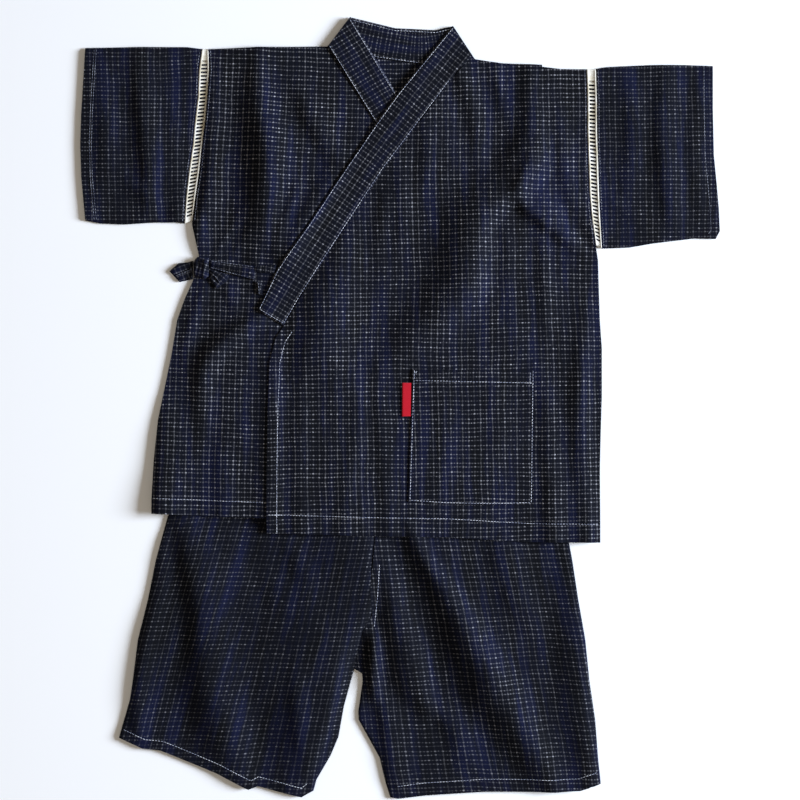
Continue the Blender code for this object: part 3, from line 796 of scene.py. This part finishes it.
    # the plain weave between the dashes: 0.5 mm yarns, drawn 0.9 mm so that they show
    plain = add(tree, "TexNoise", {"Vector": place, "Scale": 1100.0, "Detail": 1.0}, "Fac")
    hollow = add(tree, "MapRange", (plain, 0.62, 0.42, 1.0, 0.0), interpolation_type="SMOOTHSTEP")
    hollow = add(tree, "Math", (hollow, 0.35), operation="MULTIPLY")
    ground = add(tree, "Mix", {0: hollow, 6: stripes, 7: linear("#060708")}, 2, data_type="RGBA")
    colour = add(tree, "Mix", {0: white, 6: ground, 7: linear("#CFCFD6")}, 2, data_type="RGBA")
    tree.links.new(colour, shader.inputs["Base Color"])
    height = add(tree, "Math", (plain, 0.5, white), operation="MULTIPLY_ADD")
    relief = add(tree, "Bump", {"Height": height, "Strength": 0.35, "Distance": 0.0005})
    tree.links.new(relief, shader.inputs["Normal"])
    return made


def lace_cotton():
    """Cream cotton ladder lace: close cord stitches, a little uneven and yellowed, with soft shaded gaps."""
    made, tree, shader = new_material("ladder_lace_cream_cotton_thread", 0.85, 0.1)
    place = add(tree, "UVMap", uv_map="grain")
    drift = add(tree, "TexNoise", {"Vector": place, "Scale": 60.0, "Detail": 2.0}, "Fac")
    drift = add(tree, "MapRange", (drift, 0.62, 0.40, 1.0, 0.0), interpolation_type="SMOOTHSTEP")
    colour = add(tree, "Mix", {0: drift, 6: linear("#E8E5DC"), 7: linear("#CCC4B0")}, 2, data_type="RGBA")
    # thread wrapped round the rails, a turn every 1.2 mm
    wrapped = add(tree, "TexWave", {"Vector": place, "Scale": 260.0, "Distortion": 1.5, "Detail": 1.0}, "Fac",
                  bands_direction="Y")
    shade = add(tree, "MapRange", (wrapped, 0.1, 0.6, 1.0, 0.0), interpolation_type="SMOOTHSTEP")
    shade = add(tree, "Math", (shade, 0.35), operation="MULTIPLY")
    colour = add(tree, "Mix", {0: shade, 6: colour, 7: linear("#A89A78")}, 2, data_type="RGBA")
    tree.links.new(colour, shader.inputs["Base Color"])
    relief = add(tree, "Bump", {"Height": wrapped, "Strength": 0.5, "Distance": 0.0004})
    tree.links.new(relief, shader.inputs["Normal"])
    return made


def sewing_thread(name, clean, soiled):
    """Spun topstitch thread, matt: off-white where it stands free, greyer where indigo rubbed off."""
    made, tree, shader = new_material(name, 0.8)
    place = add(tree, "TexCoord", output="Object")
    soil = add(tree, "TexNoise", {"Vector": place, "Scale": 120.0, "Detail": 1.0}, "Fac")
    soil = add(tree, "MapRange", (soil, 0.60, 0.38, 1.0, 0.0), interpolation_type="SMOOTHSTEP")
    colour = add(tree, "Mix", {0: soil, 6: linear(clean), 7: linear(soiled)}, 2, data_type="RGBA")
    tree.links.new(colour, shader.inputs["Base Color"])
    return made


def tab_ribbon():
    """Red woven polyester label ribbon: fine cross ribs and a soft shine, left blank."""
    made, tree, shader = new_material("label_ribbon_red_woven_polyester", 0.55, 0.15)
    place = add(tree, "UVMap", uv_map="grain")
    ribs = add(tree, "TexWave", {"Vector": place, "Scale": 420.0, "Distortion": 0.6}, "Fac",
               bands_direction="Y")
    shade = add(tree, "Math", (ribs, 0.45), operation="MULTIPLY")
    colour = add(tree, "Mix", {0: shade, 6: linear("#C81B2C"), 7: linear("#9A1220")}, 2, data_type="RGBA")
    tree.links.new(colour, shader.inputs["Base Color"])
    relief = add(tree, "Bump", {"Height": ribs, "Strength": 0.4, "Distance": 0.0003})
    tree.links.new(relief, shader.inputs["Normal"])
    return made


NAVY = dobby_cotton("indigo_dobby_cotton_white_dash_check", 6.0, (3.8, 5.2))
NAVY_SLEEVE = dobby_cotton("indigo_dobby_cotton_sleeve_cut", 5.85, (3.8, 4.8), 0.60)
NAVY_SHORTS = {
    "right": dobby_cotton("indigo_dobby_cotton_right_leg_cut", 6.0, (3.8, 5.2), 0.46),
    "left": dobby_cotton("indigo_dobby_cotton_left_leg_cut", 6.0, (3.8, 5.2), 0.64),
}
NAVY_TIE = dobby_cotton("indigo_dobby_cotton_tie_cut", 5.0, (3.6, 4.6), 0.62)
NAVY_COLLAR = dobby_cotton("indigo_dobby_cotton_pressed_collar", 6.0, (3.8, 5.2), 0.86)
LACE_COTTON = lace_cotton()
THREAD = sewing_thread("topstitch_thread_spun_off_white", "#DCDEE6", "#8F94A6")
THREAD_DULL = sewing_thread("topstitch_thread_rubbed_grey", "#8A8D99", "#4E5160")
RIBBON_RED = tab_ribbon()


# ---------------------------------------------------------------- the cloth pieces
PAD_CLEAR = 0.15  # between a tie and what it touches
PAD_SHOULDER = 4.5  # how far in from its edge a tie is rounded
SMALL_TOPS = {}


def ends_open(x, y, nx, ny):
    return abs(nx) > 0.8


def make_panels():
    for name, angle, seed, below in (("back", 0, 3, ("leg_right", "leg_left")),
                                     ("front_right", -1.5, 11, ("back",)),
                                     ("front_left", 0.6, 23, ("back", "front_right")),
                                     ("pocket", 0.9, 31, ("front_left",))):
        made = panel(name, lambda p, a=angle, s=seed: straight_grain(p, a, s), NAVY)
        declare(made, name)


def make_tubes():
    """The sleeves fold at their top and bottom edges, and the legs at their sides."""
    for name, seed in (("sleeve_right", 41), ("sleeve_left", 47)):
        made = tube(name, lambda p, s=seed: straight_grain(p, 0.5, s), NAVY_SLEEVE, ends_open, CLOTH)
        declare(made, name)
    low, high = (corner[1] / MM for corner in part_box("leg_right"))
    crotch_y = low + 0.4 * (high - low)
    for side, out, seed in (("right", -1, 53), ("left", 1, 59)):
        def opened(x, y, nx, ny, out=out):
            return abs(ny) > 0.75 or (nx * out < -0.5 and y > crotch_y)
        name = f"leg_{side}"
        made = tube(name, lambda p, o=side, s=seed: leg_grain(p, o, s), NAVY_SHORTS[side], opened, CLOTH)
        declare(made, name)
    made = tube("waistband", lambda p: straight_grain(p, 90, 61), NAVY_SHORTS["right"],
                lambda x, y, nx, ny: abs(ny) > 0.5, CLOTH)
    declare(made, "waistband")


def make_collars():
    """The three stretches of the band, each open where it meets the next one."""
    runs = {
        "collar_left": ([(72, 353), (26, 295), (-17, 238), (-80, 142), (-116, 82.5)], 67),
        "collar_right": ([(-72, 362), (-24, 284), (95, 92)], 71),
        "collar_neck": ([(-72, 362), (-22, 350), (21.5, 344), (72, 353)], 73),
    }
    for name, (path, seed) in runs.items():
        high = OUTLINES[name][:, 1].max() - 32

        def opened(x, y, nx, ny, high=high, neck=name == "collar_neck"):
            if neck:
                return abs(nx) > 0.7
            return ny > 0.3 and y > high
        made = tube(name, lambda p, q=path, s=seed: grain_along(q, p, s), NAVY_COLLAR, opened, CLOTH,
                    spacing=2.6, radius=1.2)
        declare(made, name)


def small_pad(name, grain, finish, rise, creases=()):
    """A small knotted or folded bit of cloth: one closed skin, domed, with folds drawn on it."""
    ring = OUTLINES[name]
    places, faces = plan(ring, FINE, (0.35, 1.0))
    x, y = places.T
    distance = edge_distance(ring, x, y)
    low = read(LOWS[name], x, y) + PAD_CLEAR
    dome = rounded(distance, PAD_SHOULDER)
    body = wall_of(name) - 2 * PAD_CLEAR
    folds = sum((line_fold(x, y, *row) for row in creases), np.zeros(len(x)))
    top = low + body * (0.35 + 0.65 * dome) + rise * dome + folds * dome
    under = low + 0.35 * body * (1 - dome)
    edge = distance < ON_EDGE
    middle = low + 0.35 * body
    upper = np.column_stack([places, np.where(edge, middle, top)])
    lower = np.column_stack([places, np.where(edge, middle, np.minimum(under, middle))])
    SMALL_TOPS[name] = (places, top)
    return two_skins(name, upper, lower, faces, edge, grain, finish, 0.0)


def line_fold(x, y, x0, y0, x1, y1, height, width):
    """A straight fold across a small piece."""
    length = math.hypot(x1 - x0, y1 - y0)
    along = ((x - x0) * (x1 - x0) + (y - y0) * (y1 - y0)) / length
    past = along - np.clip(along, 0, length)
    across = ((x - x0) * (y1 - y0) - (y - y0) * (x1 - x0)) / length
    return height * np.cos(np.pi / 2 * np.clip(np.hypot(across, past) / width, 0, 1)) ** 2


def make_ties():
    lo, hi = (np.array(c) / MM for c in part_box("tie_knot"))
    knot_x, knot_y = (lo[0] + hi[0]) / 2, (lo[1] + hi[1]) / 2
    pieces = {
        "tie_band": (-8, 0.5, [(-190, 141, -146, 131, -0.5, 2.0), (-190, 146.5, -146, 140, -0.3, 1.6),
                               (-190, 144, -150, 136, 0.8, 3.0), (-146, 142, -144, 128, -0.9, 2.2)]),
        "tie_knot": (72, 2.6, [(knot_x - 7, knot_y + 6, knot_x + 6, knot_y + 9, -1.3, 2.0),
                               (knot_x - 2, knot_y + 12, knot_x - 4, knot_y - 12, -0.9, 1.8),
                               (knot_x + 4, knot_y + 8, knot_x + 3, knot_y - 10, 1.0, 2.4)]),
        "tie_loop": (20, 1.6, [(-232, 131, -206, 141, -1.4, 1.8), (-228, 140, -208, 145, 0.7, 3.0)]),
        "tie_petal": (-40, 1.4, [(-190, 137, -180, 120, -1.0, 1.6), (-190, 130, -176, 124, -0.8, 1.4),
                                 (-188, 136, -173, 131, 0.8, 2.0)]),
        "tie_tail": (80, 0.4, [(-141, 127, -140, 114, 0.5, 2.4)]),
    }
    for name, (angle, rise, folds) in pieces.items():
        made = small_pad(name, lambda p, a=angle: straight_grain(p, a, 79), NAVY_TIE, rise, folds)
        wide, long, area = flat_size(name)
        if name == "tie_knot":
            area *= 1.25
            wide *= 1.3
        declare(made, name)


def make_label():
    made = tube("tab_label", lambda p: p[:, :2], RIBBON_RED, lambda x, y, nx, ny: nx > 0.7, RIBBON, FINE, 0.7)
    declare(made, "tab_label")


def evenly(path, step):
    """Points a step apart along a path, and the way there."""
    path = np.asarray(path, float)
    at = travelled(path)
    where = np.arange(step / 2, at[-1], step)
    way = on_path(path, at, where + 0.5) - on_path(path, at, where - 0.5)
    return on_path(path, at, where), way / np.maximum(np.linalg.norm(way, axis=1), 1e-6)[:, None]


# ---------------------------------------------------------------- ladder lace
LADDER_PITCH = 3.7
RUNG = 0.46  # of the pitch
# across the band: where the rails' edges, tops and inner edges lie, with the rungs between them
RAIL_LINES = (0.0, 0.04, 0.11, 0.15, 0.85, 0.89, 0.96, 1.0)
RAIL_RISE = (-0.1, 0.25, 0.25, -0.05, -0.05, 0.25, 0.25, -0.1)
SLOT_COLUMN = 3
LACE_CUT = 10.0  # the lace's whole width, its rails' edges taken into the seams
RUNG_ROUND = 0.22  # how far a rung stands up in its middle
BACKING = 0.4  # the navy strip behind the slots: a seam edge, and its dark colour is painted shade for the hollow inside the band seen through them
BACKING_ACROSS = (0.06, 0.94)
BACKING_END = 0.93  # of the way up, clear of the fold
LACE_CORNERS = {
    "lace_right": ((-215, 185), (-208, 188), (-192, 359), (-198, 359)),
    "lace_left": ((196, 163), (202, 160), (196, 339), (187, 339)),
}


def lace_sides(name):
    """The two long edges of a lace band, both from the underarm up."""
    low_left, low_right, high_right, high_left = LACE_CORNERS[name]
    return edge_run(name, high_left, low_left)[::-1], edge_run(name, low_right, high_right)


def along_side(side, share):
    """Places on a lace edge, at shares of its length."""
    at = travelled(side)
    return on_path(side, at, share * at[-1])


def make_lace(name):
    """A ring of ladder lace round the armhole: rungs between two corded rails, with open slots."""
    left, right = lace_sides(name)
    length = np.hypot(*(left[-1] - left[0]))
    count = int(length / LADDER_PITCH)
    shares, heights, slot_after = [], [], []
    for k in range(count):
        for part, bump in ((0.0, 0.0), (RUNG / 2, RUNG_ROUND), (RUNG, 0.0)):
            shares.append((k + part) / count)
            heights.append(bump)
            slot_after.append(part == RUNG and 1 <= k < count - 3)
    shares.append(1.0)
    heights.append(0.0)
    slot_after.append(False)
    shares, heights = np.array(shares), np.array(heights)
    low_side, high_side = along_side(left, shares), along_side(right, shares)
    across = np.array(RAIL_LINES)
    flat = low_side[:, None, :] * (1 - across[None, :, None]) + high_side[:, None, :] * across[None, :, None]
    rise = np.array(RAIL_RISE)
    rungs = np.where((across > 0.15) & (across < 0.85), 1.0, 0.0)
    x, y = flat[..., 0], flat[..., 1]
    near_fold = np.minimum(shares, 1 - shares)[:, None] * length
    rounding = rounded(near_fold, FOLD_RADIUS)
    top = read(TOPS[name], x, y) - LACE / 2
    bottom = np.full(x.shape, LACE / 2)
    middle, half = (top + bottom) / 2, (top - bottom) / 2
    detail = rise[None, :] + heights[:, None] * rungs[None, :]
    upper = np.stack([x, y, middle + half * rounding + detail * rounding], axis=-1)
    lower = np.stack([x, y, middle - half * rounding], axis=-1)
    rows = np.concatenate([upper, lower[-2:0:-1]])
    slots = slot_after + [False] + [slot_after[k - 1] for k in range(len(slot_after) - 2, 0, -1)]
    columns = len(across)
    total = len(rows)
    faces = []
    for r in range(total):
        after = (r + 1) % total
        for c in range(columns - 1):
            if slots[r % len(slots)] and c == SLOT_COLUMN:
                continue
            faces.append((r * columns + c, r * columns + c + 1, after * columns + c + 1, after * columns + c))
    points = rows.reshape(-1, 3)
    ring_length = np.concatenate([shares, 2 - shares[-2:0:-1]]) * length
    grain = np.stack([np.tile(across * LACE_CUT, total), np.repeat(ring_length, columns)], axis=1)
    made = new_piece(name + "_ladder", points, faces, grain, LACE_COTTON, LACE)
    declare(made, name)
    # a navy strip halfway down in the band, behind the slots: partly a seam edge, partly painted shade for
    # the dark seen through the slots
    inner = np.array(BACKING_ACROSS)
    pick = np.nonzero(shares <= BACKING_END)[0][::3]
    low_pick, high_pick = low_side[pick][:, None, :], high_side[pick][:, None, :]
    band = low_pick * (1 - inner[None, :, None]) + high_pick * inner[None, :, None]
    height = read(TOPS[name], band[..., 0], band[..., 1]) / 2
    strip = np.stack([band[..., 0], band[..., 1], height], axis=-1).reshape(-1, 3)
    quads = [(2 * r, 2 * r + 1, 2 * r + 3, 2 * r + 2) for r in range(len(pick) - 1)]
    backing = new_piece(name + "_seam_edge_and_painted_shade", strip, quads, strip[:, :2], NAVY, BACKING)
    declare(backing, None)


# ---------------------------------------------------------------- topstitching
STITCH = 2.6
STITCH_STEP = 3.0
STITCH_WIDTH = 0.48
STITCH_HEIGHT = 0.42  # of its width
STITCH_LIFT = 0.12  # of its middle above the cloth
ARMHOLE_IN = 2.4  # the body's row beside the lace


def stitches(name, on, paths, thread):
    """Rows of single stitches that lie on a piece, each a small six-sided grain."""
    points, faces = [], []
    sides = 6
    for path in paths:
        places, ways = evenly(path, STITCH_STEP)
        for place, way in zip(places, ways):
            ends = np.stack([place - way * STITCH / 2, place + way * STITCH / 2])
            z = surface(on, ends[:, 0], ends[:, 1]) + STITCH_LIFT
            axis = np.array([ends[1, 0] - ends[0, 0], ends[1, 1] - ends[0, 1], z[1] - z[0]])
            base = np.array([ends[0, 0], ends[0, 1], z[0]])
            side = np.array([-way[1], way[0], 0.0]) * STITCH_WIDTH / 2
            up = np.array([0, 0, STITCH_WIDTH * STITCH_HEIGHT])
            start = len(points)
            points.append(base)
            for share in (0.22, 0.78):
                for k in range(sides):
                    turn = 2 * math.pi * k / sides
                    points.append(base + axis * share + (math.cos(turn) * side + math.sin(turn) * up))
            points.append(base + axis)
            for k in range(sides):
                n = (k + 1) % sides
                faces.append((start, start + 1 + n, start + 1 + k))
                faces.append((start + 1 + k, start + 1 + n, start + 1 + sides + n, start + 1 + sides + k))
                faces.append((start + 1 + sides + k, start + 1 + sides + n, start + 1 + 2 * sides))
    made = new_piece(name, points, faces, np.zeros((len(points), 2)), thread, 0.0)
    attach(made, "root")


def surface(on, x, y):
    """How high a piece's top is."""
    if on in SMALL_TOPS:
        places, top = SMALL_TOPS[on]
        gaps = (x[:, None] - places[None, :, 0]) ** 2 + (y[:, None] - places[None, :, 1]) ** 2
        return top[gaps.argmin(axis=1)]
    return read(TOPS[on], x, y)


# piece, the corners that a row runs between (anticlockwise round the piece), how far in from the edge
EDGE_STITCHES = [
    ("front_left", (-133, -125), (200, -134), 18.5),
    ("front_left", (-116, 82), (-133, -125), 10.0),
    ("front_right", (-248, -105), (85, -119), 15.5),
    ("sleeve_right", (-315, 360), (-315, 188), 9.0),
    ("sleeve_right", (-315, 360), (-315, 188), 11.2),
    ("sleeve_left", (316, 170), (313, 342), 9.0),
    ("sleeve_right", (-215, 185), (-198, 359), 2.0),
    ("sleeve_left", (196, 339), (202, 160), 2.0),
    ("collar_left", (53, 382), (-142, 98), 1.4),
    ("collar_left", (-142, 98), (-116, 82), 1.6),
    ("collar_left", (-116, 82), (51, 328), 1.4),
    ("collar_right", (123, 109), (-50, 391), 1.4),
    ("collar_right", (-72, 362), (95, 92), 1.4),
    ("collar_neck", (53, 382), (-50, 391), 2.2),
    ("collar_neck", (-72, 362), (72, 353), 1.4),
    ("pocket", (13, 39), (8, -93), 1.3),
    ("pocket", (8, -93), (132, -96), 1.6),
    ("pocket", (132, -96), (134, 37), 1.0),
    ("leg_right", (-281, -330), (-87, -383), 9.5),
    ("leg_left", (-2, -391), (200, -376), 12.5),
]
# rows that don't follow an edge
FREE_STITCHES = [
    ("pocket", [(15, 27.5), (132, 25)]),
    ("pocket", [(14.4, 38), (14.2, 28)]),
    ("pocket", [(16.6, 37), (14.8, 33)]),
    ("pocket", [(130.2, 36), (129.9, 25)]),
    ("leg_left", [(-20.6, -156), (-21.3, -170), (-22.5, -188), (-24.4, -207), (-25.8, -218)]),
    ("tie_band", [(-189, 147), (-146, 141)]),
    ("tie_band", [(-189, 140.5), (-146, 129)]),
    ("tie_loop", [(-225, 132), (-207.5, 139)]),
    ("tie_petal", [(-190, 136), (-184, 131), (-179, 124)]),
    ("tie_tail", [(-141.5, 125.5), (-140.8, 115)]),
]


def make_stitching():
    rows = {}
    for name, start, end, inset in EDGE_STITCHES:
        ring = OUTLINES[name]
        dense = evenly(edge_run(name, start, end, inset), 1.0)[0]
        inside = within(ring, *dense.T) & (edge_distance(ring, *dense.T) > 0.7)
        rows.setdefault(name, []).append(dense[inside])
    for name, path in FREE_STITCHES:
        rows.setdefault(name, []).append(np.array(path, float))
    for name, paths in rows.items():
        dull = name.startswith(("tie", "sleeve"))
        stitches(f"stitching_{name}", name, paths, THREAD_DULL if dull else THREAD)
    for side, edge, shift in (("right", 1, ARMHOLE_IN), ("left", 0, -ARMHOLE_IN)):
        row = lace_sides(f"lace_{side}")[edge] + (shift, 0)
        stitches(f"stitching_armhole_{side}", f"front_{side}", [row], THREAD_DULL)


make_label()
for lace_name in ("lace_right", "lace_left"):
    make_lace(lace_name)
make_panels()
make_tubes()
make_collars()
make_ties()
make_stitching()


# ---------------------------------------------------------------- stage
def camera_and_light():
    view = bpy.data.cameras.new("view_from_above")
    view.lens = 85.0
    view.sensor_width = 36.0
    eye = bpy.data.objects.new("view_from_above", view)
    bpy.context.scene.collection.objects.link(eye)
    reach = 0.8 * view.lens / view.sensor_width
    eye.location = (0.0, 0.008, reach + 0.004)
    bpy.context.scene.camera = eye
    bpy.ops.mesh.primitive_plane_add(size=6.0, location=(0, 0, -0.0006))
    floor = bpy.context.active_object
    floor.name = "pale_floor"
    made, _, shader = new_material("matt_white_board", 0.9)
    shader.inputs["Base Color"].default_value = linear("#F6F6F6")
    floor.data.materials.append(made)
    for name, place, size, power, tint in (
        ("window", (4.20, 0.24, 1.75), 1.8, 575.0, (0.77, 0.86, 1.0)),
        ("ceiling", (-0.6, -0.3, 2.3), 2.2, 8.0, (1.0, 0.88, 0.72)),
    ):
        lamp = bpy.data.lights.new(name, "AREA")
        lamp.shape = "DISK"
        lamp.size = size
        lamp.energy = power
        lamp.color = tint
        holder = bpy.data.objects.new(name, lamp)
        bpy.context.scene.collection.objects.link(holder)
        holder.location = place
        holder.rotation_euler = (Vector((0, 0, 0)) - Vector(place)).to_track_quat("-Z", "Y").to_euler()
    world = bpy.data.worlds.new("soft_room")
    bpy.context.scene.world = world
    world.use_nodes = True
    world.node_tree.nodes["Background"].inputs[0].default_value = (1, 0.90, 0.77, 1)
    world.node_tree.nodes["Background"].inputs[1].default_value = 0.20
    bpy.context.scene.view_settings.view_transform = "Standard"


camera_and_light()
